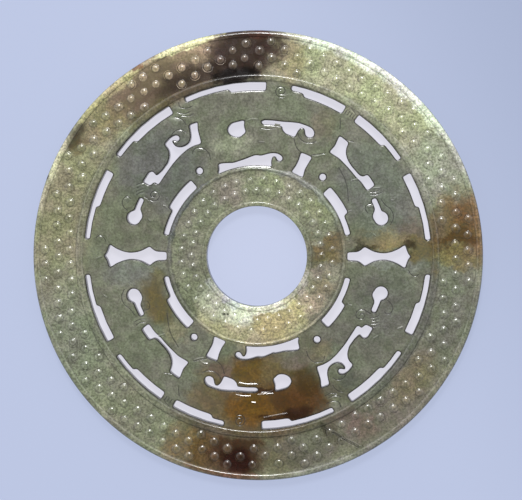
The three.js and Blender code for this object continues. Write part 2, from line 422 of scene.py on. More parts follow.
# Engraved lines of the openwork's upper half as [degrees, radius]; the lower half repeats them
engraving = {
    "toolRadius": 0.42,
    "toolRise": 0.3,  # how far the tool's middle stays above the face
    "pathSteps": 5,
    "rodSteps": 2,
    "lowerHalfLag": 2.5,  # degrees by which the lower half lags behind the upper one in its middle
    "lines": {
        "scrollRing": [(72.3, 40.9), (70.8, 39.2), (68.5, 37.9), (66, 37.6), (63.3, 37.4), (60.8, 38.6), (58.8, 39.7),
                       (56.7, 41)],
        "scrollInside": [(71.6, 43.2), (70.4, 42), (67.8, 41.2), (64.8, 41.6), (62.6, 43)],
        "shoulder": [(56.8, 50.4), (57.6, 51.8), (58.9, 53.6)],
        "slotCorner": [(57.6, 58.2), (56.2, 57.9), (54.9, 57.2)],
        "forkCorner": [(52.4, 48.6), (50.8, 49.4), (49.6, 49.9)],
        "lipBracket": [(24.6, 42.2), (24.9, 40), (23.6, 39.4), (21.4, 39.6)],
        "upperCheek": [(47.5, 40.2), (40, 38.6), (31, 35.6)],
        "snout1": [(29.6, 43.4), (28.6, 44.8), (28.6, 46.6)],
        "snout2": [(28.3, 43), (27.3, 44.8), (27.2, 46.8)],
        "rightBrow": [(24.8, 45.4), (21.8, 46), (19.2, 47.2), (16, 47.2), (13.4, 45.6)],
        "leftCurl": [(160.7, 45.8), (160.1, 47), (158.5, 48.3), (156.6, 48.4), (155.2, 47.6), (155.6, 46.2)],
        "mane1": [(147, 44.9), (148.2, 45.9), (149.5, 46.7)],
        "mane2": [(148.2, 44.4), (149.4, 45.4), (150.7, 46.2)],
        "mane3": [(149.4, 43.9), (150.6, 44.9), (151.9, 45.7)],
        "mane4": [(150.6, 43.5), (151.8, 44.4), (153, 45.1)],
        "hookBand": [(120.4, 53.7), (119.1, 52.4), (118.4, 50.9), (118.3, 49.7)],
        "hookInside": [(126.6, 48.4), (124.2, 49.6), (121.4, 49.4), (119.9, 47.6)],
        "eyeArc": [(122.2, 40.2), (120.7, 41.1), (118.8, 41.1), (116.6, 40.2), (115.1, 38.2), (115.4, 35.6)],
        "meander": [(152.2, 42.6), (151.6, 38.6), (148, 38.4), (147.9, 40.6), (150.2, 40.8), (150.2, 39.6),
                    (148.8, 39.5)],
        "slotArc": [(117, 57.4), (117.2, 55.8), (115.6, 54.5), (113, 54.3)],
        "twist1": [(118.8, 54.6), (117.2, 53.2), (114.6, 52.9)],
        "twist2": [(118, 53), (116.2, 51.9), (113.8, 51.8)],
        "slotEnd": [(173.6, 54.2), (172.6, 53), (173.2, 51.6), (174.6, 50.6)],
        "strip": [(88, 42.6), (84, 42.5), (82.4, 43)],
    },
    "ticks": {"angles": (55.3, 56.3, 57.3, 58.3), "from": 55.6, "to": 57.2},
    "coil": {"at": (81.6, 55.4), "from": 0.5, "to": 2.1, "turns": 1.6, "points": 22},
    # thin raised strokes: whiskers and ledges, first those that both halves have, then each half's own
    "ridgeRadius": 0.42,
    "ridgeSink": 0.2,
    "ridges": {
        "both": [
            [(94.4, 45.1), (92.2, 45.6), (89.4, 45.5)], [(60.2, 38.2), (58.4, 39.2), (56.8, 40.4)],
            [(38.7, 40.3), (37.5, 42.3)], [(151.8, 33.9), (151.3, 34.7), (151.6, 35.6)],
        ],
        "upper": [
            [(30.5, 44.8), (29.2, 46.9)], [(26.3, 33.8), (25.8, 35.3)], [(24.1, 40.6), (23.6, 42.2)],
            [(46.4, 32.4), (47.8, 33)], [(147.5, 35.5), (147.1, 36.1)], [(161.9, 37.4), (161, 38.4)],
            [(156.2, 47.2), (156.8, 48)], [(180.1, 51.8), (180.8, 53.6)], [(119, 40.1), (117.4, 39.8), (116, 39)],
            [(79.8, 44.1), (82.2, 44.1)], [(86, 38.1), (89, 38)], [(22.9, 48.3), (22.4, 49)],
            [(45.6, 48.8), (44.8, 48.6)], [(11, 39.4), (9.8, 40.2)],
        ],
        "lower": [
            [(272.5, 53.9), (277, 53.4), (281, 53.3)], [(262, 42.7), (266, 42.8), (270, 42.6)],
            [(261.5, 46.7), (264.5, 46.9), (267.6, 46.7)], [(270.4, 46.2), (274, 46), (277, 46.1)],
            [(241, 39.6), (243.4, 39.9), (245.4, 39.6)], [(325, 47.4), (327, 48.2)], [(268, 48.8), (269.6, 48.9)],
            [(195.5, 52), (194.3, 53)], [(333, 52.6), (334.4, 53.8)],
        ],
    },
}


def upperAngle(angle):
    return angle


def lowerAngle(angle):
    return angle + 180 + engraving["lowerHalfLag"] * math.sin(math.radians(angle))


def ringPaths(paths, angleOf=upperAngle):
    return [[ringPoint(angleOf(angle), radius) for angle, radius in path] for path in paths]


def drawLines(name, paths, radius, height, smooth=True):
    # round rods along the paths, to be cut out of the stone or joined to it
    shape = bpy.data.curves.new(name, "CURVE")
    shape.dimensions = "3D"
    shape.resolution_u = engraving["pathSteps"]
    shape.bevel_depth = radius
    shape.bevel_resolution = engraving["rodSteps"]
    shape.use_fill_caps = True
    for path in paths:
        line = shape.splines.new("BEZIER")
        line.bezier_points.add(len(path) - 1)
        for knot, place in zip(line.bezier_points, path):
            knot.co = (place.x, place.y, height + place.z)
            knot.handle_left_type = knot.handle_right_type = "AUTO" if smooth else "VECTOR"
    rods = bpy.data.objects.new(name, shape)
    bpy.context.scene.collection.objects.link(rods)
    pickOnly(rods)
    bpy.ops.object.convert(target="MESH")
    rods = bpy.context.object
    closeMesh(rods)
    return rods


def drawCoil(angleOf):
    coil = engraving["coil"]
    angle, radius = coil["at"]
    centre = ringPoint(angleOf(angle), radius)
    spiral = []
    for k in range(coil["points"] + 1):
        share = k / coil["points"]
        away = coil["from"] + (coil["to"] - coil["from"]) * share
        turn = math.radians(angleOf(angle)) + 2 * math.pi * coil["turns"] * share
        spiral.append(centre + Vector((away * math.cos(turn), away * math.sin(turn), 0)))
    return spiral


def engraveOpenwork(body):
    ticks = engraving["ticks"]
    paths = list(engraving["lines"].values())
    paths += [[(angle, ticks["from"]), (angle, ticks["to"])] for angle in ticks["angles"]]
    height = disc["openworkLevel"] + engraving["toolRise"]
    for angleOf in (upperAngle, lowerAngle):
        drawn = ringPaths(paths, angleOf) + [drawCoil(angleOf)]
        combine(body, drawLines("engraving", drawn, engraving["toolRadius"], height), "DIFFERENCE")


def makeRidges(body):
    ridges = engraving["ridges"]
    height = disc["openworkLevel"] - engraving["ridgeSink"]
    for half, angleOf in (("upper", upperAngle), ("lower", lowerAngle)):
        paths = ringPaths(ridges["both"], angleOf) + ringPaths(ridges[half])
        combine(body, drawLines("ridges", paths, engraving["ridgeRadius"], height), "UNION")


# Chips of the rim, the crack at the lower right and two pits near the bore
wear = {
    "chips": [(76, 2.0), (159.5, 2.2), (24.5, 1.8), (102, 1.6), (204, 1.6), (301, 2.0), (331, 1.5)],  # degrees, size
    "chipAway": 0.9,  # how far outside the rim's corner a chip's middle lies
    "pits": [(243.5, 21.7), (240.6, 22.1)],
    "pitSize": 0.42,
    "pitRise": 0.1,  # how far a pit's middle stays above the ground
    "biteSteps": 2,
    "crack": [(298.2, 72.4), (296.8, 69.9), (295.5, 67.6), (294.6, 65.9), (293.1, 63.6), (291.6, 61.4)],
    "crackSize": 0.26,
    "crackRise": 0.1,
    "crackLip": [(298.9, 72.4), (297.6, 70), (296.2, 67.6), (295.3, 65.9), (293.8, 63.6), (292.4, 61.6)],
    "lipSize": 0.32,
    "lipSink": 0.16,
}


def wearDown(body):
    bites = []
    for angle, size in wear["chips"]:
        place = ringPoint(angle, disc["radius"] + wear["chipAway"])
        bites.append((place.x, place.y, disc["thickness"] + wear["chipAway"], size))
    for angle, radius in wear["pits"]:
        place = ringPoint(angle, radius)
        bites.append((place.x, place.y, disc["groundLevel"] + wear["pitRise"], wear["pitSize"]))
    for x, y, z, size in bites:  # each bite is turned another way
        deselectAll()
        bpy.ops.mesh.primitive_ico_sphere_add(subdivisions=wear["biteSteps"], radius=size, location=(x, y, z))
        bite = bpy.context.object
        bpy.ops.transform.rotate(value=x, orient_axis="Z", center_override=(x, y, z))
        bpy.ops.object.transform_apply(location=True, rotation=True, scale=True)
        combine(body, bite, "DIFFERENCE")
    for name, size, height, operation in (
            ("crack", wear["crackSize"], disc["groundLevel"] + wear["crackRise"], "DIFFERENCE"),
            ("crackLip", wear["lipSize"], disc["groundLevel"] - wear["lipSink"], "UNION")):
        combine(body, drawLines(name, ringPaths([wear[name]]), size, height, smooth=False), operation)


innerRing, outerRing = makeRings()
plate = makeOpenworkPlate()
print("rings and openwork made")
grains, curls, backGrains = makeGrains()
print("grains made")
body = outerRing
for other in (plate, innerRing, grains, curls, backGrains):
    combine(body, other, "UNION")
print("body joined")
engraveOpenwork(body)
makeRidges(body)
wearDown(body)
print("openwork engraved and edges worn")


def finishBody(body):
    pickOnly(body)
    body.name = "jade_disc"
    body.data.name = "jade_disc"
    print("jade disc:", sum(len(face.vertices) - 2 for face in body.data.polygons), "triangles")
    closeMesh(body, gap=0.0005)
    pickOnly(body)
    bpy.ops.transform.resize(value=(mm, mm, mm), center_override=(0, 0, 0))
    bpy.ops.object.transform_apply(location=True, rotation=True, scale=True)
    bpy.ops.object.shade_smooth_by_angle(angle=math.radians(disc["sharpAngle"]))
    even = body.modifiers.new("evenShading", "WEIGHTED_NORMAL")
    even.keep_sharp = True
    bpy.ops.object.modifier_apply(modifier=even.name)


# Colours are written as the eye sees them, from 0 to 255
def seen(red, green, blue):
    def linear(value):
        value = value / 255
        return value / 12.92 if value <= 0.04045 else ((value + 0.055) / 1.055) ** 2.4
    return (linear(red), linear(green), linear(blue), 1)


def addNode(tree, kind, **settings):
    node = tree.nodes.new(kind)
    for name, value in settings.items():
        setattr(node, name, value)
    return node


def feed(tree, node, values):
    # each value is a socket to wire in or a plain number or colour
    for name, value in values.items():
        if isinstance(value, bpy.types.NodeSocket):
            tree.links.new(value, node.inputs[name])
        else:
            node.inputs[name].default_value = value
    return node


def calculate(tree, operation, *values):
    node = addNode(tree, "ShaderNodeMath", operation=operation)
    feed(tree, node, dict(enumerate(values)))
    return node.outputs[0]


# Noise patterns as scale, detail and roughness; the first scale is per millimetre, the others are per metre
patterns = {
    "wander": (0.16, 8, 0.66),
    "cloud": (45, 6, 0.6),
    "hue": (120, 5, 0.6),
    "mottling": (260, 5, 0.65),
    "fleck": (1350, 3, 0.75),
}


def noise(tree, place, pattern):
    scale, detail, roughness = patterns[pattern]
    node = addNode(tree, "ShaderNodeTexNoise")
    return feed(tree, node, {"Vector": place, "Scale": scale, "Detail": detail, "Roughness": roughness})


def ramp(tree, value, low, high, toLow=0.0, toHigh=1.0):
    node = addNode(tree, "ShaderNodeMapRange", interpolation_type="SMOOTHSTEP")
    feed(tree, node, {"Value": value, "From Min": low, "From Max": high, "To Min": toLow, "To Max": toHigh})
    return node.outputs["Result"]


def tint(tree, mask, under, over, blend="MIX"):
    node = addNode(tree, "ShaderNodeMix", data_type="RGBA", blend_type=blend)
    for name, value in (("Factor_Float", mask), ("A_Color", under), ("B_Color", over)):
        socket = next(s for s in node.inputs if s.identifier == name)
        if isinstance(value, bpy.types.NodeSocket):
            tree.links.new(value, socket)
        else:
            socket.default_value = value
    return next(s for s in node.outputs if s.identifier == "Result_Color")


def newGroup(name, inputs, outputs):
    tree = bpy.data.node_groups.new(name, "ShaderNodeTree")
    for label, kind in inputs:
        tree.interface.new_socket(label, in_out="INPUT", socket_type=kind)
    for label, kind in outputs:
        tree.interface.new_socket(label, in_out="OUTPUT", socket_type=kind)
    return tree, addNode(tree, "NodeGroupInput").outputs, addNode(tree, "NodeGroupOutput")


def makeRingPlaceGroup():
    # where a point lies on the disc, in degrees and millimetres, with wandering edges, and how near a face it is
    tree, given, result = newGroup(
        "ringPlace",
        [("Place", "NodeSocketVector"), ("Wander Along", "NodeSocketFloat"), ("Wander Across", "NodeSocketFloat")],
        [("Angle", "NodeSocketFloat"), ("Radius", "NodeSocketFloat"), ("Height", "NodeSocketFloat")])
    inMillimetres = addNode(tree, "ShaderNodeVectorMath", operation="SCALE")
    feed(tree, inMillimetres, {"Vector": given["Place"], "Scale": 1 / mm})
    drift = addNode(tree, "ShaderNodeSeparateColor")
    feed(tree, drift, {"Color": noise(tree, inMillimetres.outputs[0], "wander").outputs["Color"]})
    along, across = (calculate(tree, "SUBTRACT", drift.outputs[name], 0.5) for name in ("Red", "Green"))
    parts = addNode(tree, "ShaderNodeSeparateXYZ")
    feed(tree, parts, {0: inMillimetres.outputs[0]})
    x, y, z = (parts.outputs[name] for name in "XYZ")
    squares = calculate(tree, "ADD", calculate(tree, "MULTIPLY", x, x), calculate(tree, "MULTIPLY", y, y))
    radius = calculate(tree, "SQRT", squares)
    around = calculate(tree, "DIVIDE", calculate(tree, "MULTIPLY", along, given["Wander Along"]), radius)
    angle = calculate(tree, "DEGREES", calculate(tree, "ADD", calculate(tree, "ARCTAN2", y, x), around))
    drifted = calculate(tree, "ADD", radius, calculate(tree, "MULTIPLY", across, given["Wander Across"]))
    height = calculate(tree, "MAXIMUM", z, calculate(tree, "SUBTRACT", disc["thickness"], z))
    feed(tree, result, {"Angle": angle, "Radius": drifted, "Height": height})
    return tree


def makeStainPatchGroup():
    # one soft-edged patch of the ring, broken up by the mottling that is handed in
    tree, given, result = newGroup(
        "stainPatch",
        [(name, "NodeSocketFloat") for name in
         ("Angle", "Radius", "Mottling", "Ground", "At Angle", "At Radius", "Half Angle", "Half Width", "Softness",
          "Broken", "Strength", "Worn Off")],
        [("Mask", "NodeSocketFloat")])
    off = calculate(tree, "WRAP", calculate(tree, "SUBTRACT", given["Angle"], given["At Angle"]), 180.0, -180.0)
    around = calculate(tree, "DIVIDE", off, given["Half Angle"])
    across = calculate(tree, "DIVIDE", calculate(tree, "SUBTRACT", given["Radius"], given["At Radius"]),
                       given["Half Width"])
    squares = calculate(tree, "ADD", calculate(tree, "MULTIPLY", around, around),
                        calculate(tree, "MULTIPLY", across, across))
    soft = calculate(tree, "SUBTRACT", 1.0, given["Softness"])
    mask = ramp(tree, squares, soft, calculate(tree, "ADD", 1.0, given["Softness"]), 1.0, 0.0)
    gaps = ramp(tree, given["Mottling"], *stone["gapRange"])
    kept = calculate(tree, "SUBTRACT", 1.0, calculate(tree, "MULTIPLY", given["Broken"],
                                                      calculate(tree, "SUBTRACT", 1.0, gaps)))
    onGrains = calculate(tree, "MULTIPLY", given["Worn Off"], calculate(tree, "SUBTRACT", 1.0, given["Ground"]))
    strong = calculate(tree, "MULTIPLY", given["Strength"], calculate(tree, "SUBTRACT", 1.0, onGrains))
    feed(tree, result, {"Mask": calculate(tree, "MULTIPLY", calculate(tree, "MULTIPLY", mask, kept), strong)})
    return tree


# The stone; a range gives the two values of a pattern or height between which an effect fades
stone = {
    "light": (142, 143, 120),
    "dark": (122, 125, 104),
    "cloudRange": (0.36, 0.62),
    "openwork": (112, 115, 99),
    "openworkShare": 0.85,
    "openworkFade": ((27, 32), (60, 57)),  # the radii over which the openwork's colour comes in and goes out
    "greenish": (126, 130, 123),  # these two tint the stone from place to place, 128 leaves a colour as it is
    "mauve": (130, 127, 130),
    "hueRange": (0.36, 0.64),
    # how much the larger and the finer mottling lighten and darken the bands and the openwork
    "clouding": (0.2, 0.17),
    "mottling": (0.44, 0.27),
    "mottlingRange": (0.32, 0.68),
    "wanderAlong": 18.0,  # millimetres by which the edges of the stains wander round the disc, and across it
    "wanderAcross": 6.0,
    "gapRange": (0.4, 0.56),  # where the mottling breaks a stain up
    "wornRange": (0.06, 0.22),  # above the ground, where stains are worn off the grains
    # dark colour, partly dirt and partly painted shade, in the pits and on the walls below the ground; painted shade
    # on the edges of the openings below the face and round the grains' feet
    "dirtAndShade": (26, 23, 17),
    "pitDirtAndShade": 0.9,
    "pitRange": (-0.2, -0.04),
    "edgePaintedShade": 0.96,
    "edgeRange": (-0.14, -0.005),
    "footPaintedShade": (0.108, 0.36),
    "footPatches": (0.4, 0.6),
    "footStart": (0.015, 0.06),
    "footEnd": (0.1, 0.28),
    "dullRange": (0.015, 0.09),  # stains darker than this lose their gloss
    "dullGloss": 0.15,
    "coat": 0.5,
    "coatRoughness": 0.08,
    "roughness": (0.16, 0.32),
    "roughnessRange": (0.3, 0.7),
    "refraction": 1.5,
    "glow": 0.15,  # light that enters the stone and comes out again
    "glowReach": (0.0022, 0.0026, 0.0014),
    "mottlingRelief": 0.5,
    "fleckRelief": 0.2,
    "reliefStrength": 0.3,
    "reliefDepth": 0.0004,
}

# Its stains: where each lies, how far it reaches, its colour, how soft, broken and strong it is, and how much of it
# is worn off the grains
stains = [
    # angle, radius, half angle, half width, colour, softness, broken, strength, worn off
    # the outer band, its border and the rim in the upper half and at the left
    (165, 67, 26, 11, (146, 141, 110), 0.9, 0.1, 0.7, 0),
    (203, 67, 20, 9, (126, 132, 116), 0.9, 0.2, 0.5, 0),
    (52, 68, 32, 10, (177, 179, 144), 0.8, 0.15, 0.9, 0),
    (42, 59.4, 26, 1.8, (136, 138, 122), 0.8, 0.2, 0.7, 0),
    (165, 59.4, 28, 1.8, (118, 118, 102), 0.8, 0.2, 0.6, 0),
    (26, 68, 11, 9, (156, 160, 144), 0.9, 0.2, 0.8, 0),
    # the near-white rim at the top right: partly the stone's pale colour, partly a painted highlight where the rim
    # faces the light
    (58, 74.4, 30, 2.5, (238, 244, 226), 0.8, 0.1, 0.95, 0),
    (80, 67, 5, 8, (150, 138, 104), 0.85, 0.3, 0.75, 0),
    (124, 67, 15, 8, (138, 120, 96), 0.8, 0.4, 0.8, 0.5),
    (106, 70.5, 9, 3, (160, 146, 112), 0.8, 0.3, 0.8, 0),
    (113, 67, 18, 8.5, (172, 151, 124), 0.8, 0.1, 0.88, 0),
    (94, 67, 10, 8.5, (124, 104, 92), 0.8, 0.1, 0.85, 0),
    (120, 66, 14, 7, (48, 36, 26), 0.85, 0.6, 0.78, 0.9),
    (108, 63, 15, 4, (42, 31, 23), 0.75, 0.25, 0.92, 0.72),
    (95, 67, 8.5, 9, (42, 26, 20), 0.8, 0.25, 0.97, 0.5),
    (87.5, 70, 4.2, 6, (46, 27, 20), 0.85, 0.3, 0.92, 0.3),
    (87.5, 73.8, 6, 1.8, (72, 46, 34), 0.8, 0.3, 0.88, 0),
    (110, 59.3, 15, 1.6, (64, 52, 38), 0.6, 0.2, 0.85, 0),
    (97, 60, 7, 2.8, (14, 8, 6), 0.75, 0.05, 0.98, 0),
    (91, 73.9, 5, 1.5, (76, 42, 34), 0.6, 0.3, 0.85, 0),
    (96, 74, 4, 2, (42, 24, 16), 0.7, 0.3, 0.88, 0),
    # the pale yellow rim at 109°, 131° and 139°: partly the stone's colour, partly a painted highlight where the rim
    # faces the light
    (109, 74.2, 9, 1.5, (236, 232, 184), 0.5, 0.1, 0.9, 0),
    (131, 74, 10, 2, (192, 183, 138), 0.7, 0.35, 0.85, 0),
    (157, 74.2, 10, 1.5, (206, 202, 170), 0.8, 0.35, 0.85, 0),
    (139, 74.3, 5, 1.2, (192, 184, 138), 0.8, 0.4, 0.8, 0),
    (121.5, 74.4, 1.6, 1.4, (120, 76, 46), 0.6, 0.3, 0.85, 0),
    (139, 68, 7, 6, (136, 124, 90), 0.9, 0.4, 0.7, 0.4),
    (147, 72.6, 4.5, 2.2, (44, 34, 16), 0.85, 0.4, 0.92, 0.3),
    (148.5, 70, 3.5, 2.4, (100, 84, 56), 0.8, 0.5, 0.7, 0.4),
    (126, 59.5, 8, 2.2, (86, 80, 50), 0.6, 0.3, 0.7, 0),
    # the outer band, its border and the rim along the bottom and at the right
    (250, 67, 6.5, 8, (116, 94, 54), 0.9, 0.4, 0.85, 0.2),
    (254, 67, 4, 8, (78, 54, 16), 0.8, 0.35, 0.85, 0.2),
    (262, 67, 10, 8.5, (108, 84, 58), 0.8, 0.1, 0.85, 0),
    (265, 67, 8.2, 8.2, (56, 30, 17), 0.75, 0.25, 0.95, 0.3),
    (263.5, 68.5, 4, 4.5, (40, 14, 8), 0.8, 0.1, 0.9, 0.25),
    (262, 74.1, 11, 1.2, (114, 80, 62), 0.6, 0.35, 0.7, 0),
    (292, 74, 18, 1.4, (160, 160, 152), 0.9, 0.3, 0.7, 0),
    (277, 67, 6, 7, (96, 88, 66), 0.9, 0.4, 0.8, 0),
    (285, 66, 7, 8, (98, 96, 84), 0.9, 0.3, 0.75, 0),
    (293, 63, 3.2, 4.5, (66, 58, 32), 0.9, 0.4, 0.75, 0),
    (294.2, 64.6, 1.3, 3, (56, 49, 22), 0.9, 0.3, 0.7, 0),
    (312, 67, 24, 9, (108, 101, 93), 0.9, 0.4, 0.85, 0),
    (345, 67, 15, 9, (104, 107, 96), 0.9, 0.3, 0.75, 0),
    (322, 66, 8, 5, (126, 116, 84), 0.9, 0.4, 0.6, 0),
    (302, 66, 4, 5, (114, 96, 86), 0.9, 0.4, 0.7, 0),
    (268, 59.4, 26, 1.9, (92, 86, 72), 0.7, 0.2, 0.85, 0),
    (333, 59.4, 30, 1.9, (96, 97, 89), 0.7, 0.2, 0.85, 0),
    (4, 59.4, 9, 1.9, (100, 90, 72), 0.7, 0.2, 0.85, 0),
    (299, 60, 5, 1.8, (70, 56, 42), 0.9, 0.4, 0.6, 0),
    (291.4, 61.3, 1.5, 2, (34, 29, 15), 0.9, 0.3, 0.7, 0),
    (8, 68, 10, 9, (118, 98, 66), 0.85, 0.25, 0.85, 0),
    (10, 70, 6, 6, (100, 72, 38), 0.85, 0.5, 0.8, 0.3),
    (4, 64, 4, 6, (98, 80, 48), 0.85, 0.4, 0.7, 0),
    (8, 74, 8, 1.8, (128, 104, 70), 0.6, 0.3, 0.9, 0),
    (5, 67, 1.8, 9, (78, 54, 24), 0.7, 0.5, 0.8, 0.3),
    (359.5, 66, 3, 8, (126, 116, 74), 0.85, 0.4, 0.7, 0),
    (10.5, 61.5, 5, 2.2, (110, 96, 74), 0.6, 0.3, 0.7, 0),
    # the upper half of the openwork
    (7, 43, 5.5, 7, (148, 128, 84), 0.85, 0.3, 0.75, 0),
    (3.5, 54, 5, 5, (106, 90, 54), 0.85, 0.4, 0.8, 0),
    (3.5, 50, 1.8, 2.6, (38, 26, 10), 0.8, 0.2, 0.8, 0),
    (4, 36, 2.8, 4.4, (42, 35, 18), 0.8, 0.25, 0.88, 0),
    (11.5, 52, 3.5, 4.5, (112, 92, 80), 0.9, 0.3, 0.7, 0),
    (9, 36, 4, 5, (108, 102, 84), 0.9, 0.3, 0.7, 0),
    (30, 45, 20, 12, (108, 111, 106), 0.9, 0.2, 0.7, 0),
    (63, 49, 5, 5, (122, 110, 88), 0.9, 0.4, 0.4, 0),
    (102, 38, 9, 4, (156, 158, 138), 0.9, 0.3, 0.75, 0),
    (137, 43, 20, 13, (98, 101, 97), 0.9, 0.2, 0.8, 0),
    (163, 44, 11, 12, (108, 110, 92), 0.9, 0.2, 0.6, 0),
    # the lower half of the openwork
    (272, 46, 25, 14, (100, 82, 50), 0.75, 0.2, 0.88, 0),
    (279, 50, 17, 7, (82, 58, 24), 0.75, 0.35, 0.85, 0),
    (186, 43, 6, 8, (120, 126, 118), 0.9, 0.2, 0.6, 0),
    (205, 37, 11, 4, (96, 84, 42), 0.85, 0.4, 0.85, 0),
    (195, 34, 6, 2.5, (104, 98, 62), 0.8, 0.3, 0.7, 0),
    (223, 37, 7, 3.5, (154, 144, 118), 0.9, 0.3, 0.6, 0),
    (251, 50, 8, 7, (104, 90, 62), 0.9, 0.4, 0.6, 0),
    (254, 40.5, 5, 2.6, (106, 86, 80), 0.85, 0.3, 0.7, 0),
    (330, 40, 25, 14, (98, 98, 90), 0.9, 0.2, 0.5, 0),
    (267, 51, 8, 6, (106, 76, 26), 0.8, 0.35, 0.88, 0),
    (272, 45.3, 9, 1, (50, 28, 16), 0.8, 0.15, 0.85, 0),
    (277, 54.4, 8, 0.8, (48, 26, 16), 0.8, 0.15, 0.8, 0),
    (266, 34.6, 7, 1, (62, 46, 30), 0.8, 0.2, 0.75, 0),
    (286, 51, 10, 6, (80, 54, 24), 0.9, 0.35, 0.9, 0),
    (285, 54.6, 5, 2.4, (42, 21, 13), 0.9, 0.2, 0.85, 0),
    (268, 38.5, 8, 4.5, (100, 78, 32), 0.7, 0.35, 0.9, 0),
    (279, 38, 6, 4, (106, 94, 62), 0.8, 0.3, 0.8, 0),
    (292, 44, 6, 5, (66, 52, 20), 0.85, 0.35, 0.85, 0),
    (292, 37.5, 6, 3, (118, 106, 100), 0.8, 0.3, 0.6, 0),
    (302, 52, 3.5, 5, (94, 92, 74), 0.8, 0.3, 0.7, 0),
    (305, 38, 6, 3, (136, 124, 98), 0.9, 0.4, 0.7, 0),
    (300, 35, 6, 5, (98, 92, 76), 0.9, 0.3, 0.6, 0),
    (307, 50, 4, 5, (80, 84, 74), 0.8, 0.2, 0.7, 0),
    (340, 46, 15, 10, (104, 106, 98), 0.9, 0.3, 0.6, 0),
    (357.5, 44, 2.8, 12, (132, 134, 130), 0.8, 0.2, 0.6, 0),
    # the inner band, its border and the collar
    (150, 24, 40, 6, (116, 119, 102), 0.9, 0.2, 0.6, 0),
    (8, 23, 8, 6.5, (108, 92, 56), 0.8, 0.35, 0.88, 0),
    (1, 17.9, 13, 1.5, (98, 103, 84), 0.8, 0.2, 0.85, 0),
    (212, 17.9, 10, 1.5, (168, 172, 168), 0.8, 0.2, 0.8, 0),
    (330, 17.9, 14, 1.5, (186, 184, 170), 0.7, 0.2, 0.85, 0),
    (1, 23, 4, 5, (112, 102, 62), 0.8, 0.3, 0.7, 0),
    (60, 29.2, 38, 1, (164, 168, 158), 0.6, 0.1, 0.85, 0),
    (150, 29.2, 30, 1, (100, 104, 104), 0.6, 0.1, 0.85, 0),
    (197, 29.2, 24, 1, (108, 108, 96), 0.6, 0.1, 0.8, 0),
    (278, 29.2, 40, 1, (166, 160, 134), 0.6, 0.1, 0.85, 0),
    (78, 25, 7, 4, (148, 158, 118), 0.9, 0.3, 0.6, 0),
    (40, 25, 9, 4, (138, 144, 106), 0.9, 0.3, 0.5, 0),
    (115, 23, 10, 5, (142, 132, 122), 0.9, 0.4, 0.5, 0),
    (268, 23, 50, 7.5, (180, 173, 138), 0.5, 0.15, 0.9, 0),
    (228, 20, 20, 5.5, (180, 184, 166), 0.9, 0.2, 0.8, 0),
    (256, 19.5, 18, 4, (226, 229, 208), 0.8, 0.1, 0.95, 0),
    (256, 26, 8, 3, (192, 182, 150), 0.9, 0.3, 0.7, 0),
    (284, 23.5, 14, 5.5, (182, 172, 122), 0.8, 0.3, 0.85, 0),
    (290, 17.9, 24, 1.7, (244, 246, 220), 0.6, 0.1, 0.9, 0),
    (241, 17.9, 12, 1.5, (208, 212, 212), 0.7, 0.1, 0.85, 0),
    (306, 22, 8, 5, (196, 188, 138), 0.8, 0.2, 0.85, 0),
    (316, 18.2, 1.6, 0.7, (138, 144, 84), 0.6, 0.2, 0.7, 0),
    (321, 23, 7, 4.5, (176, 160, 136), 0.9, 0.4, 0.75, 0),
    (336, 24, 8, 4, (138, 128, 98), 0.9, 0.4, 0.75, 0),
    (349, 21, 5, 3, (134, 124, 110), 0.9, 0.4, 0.7, 0),
    (357, 24, 4, 6, (106, 98, 64), 0.8, 0.3, 0.8, 0),
]


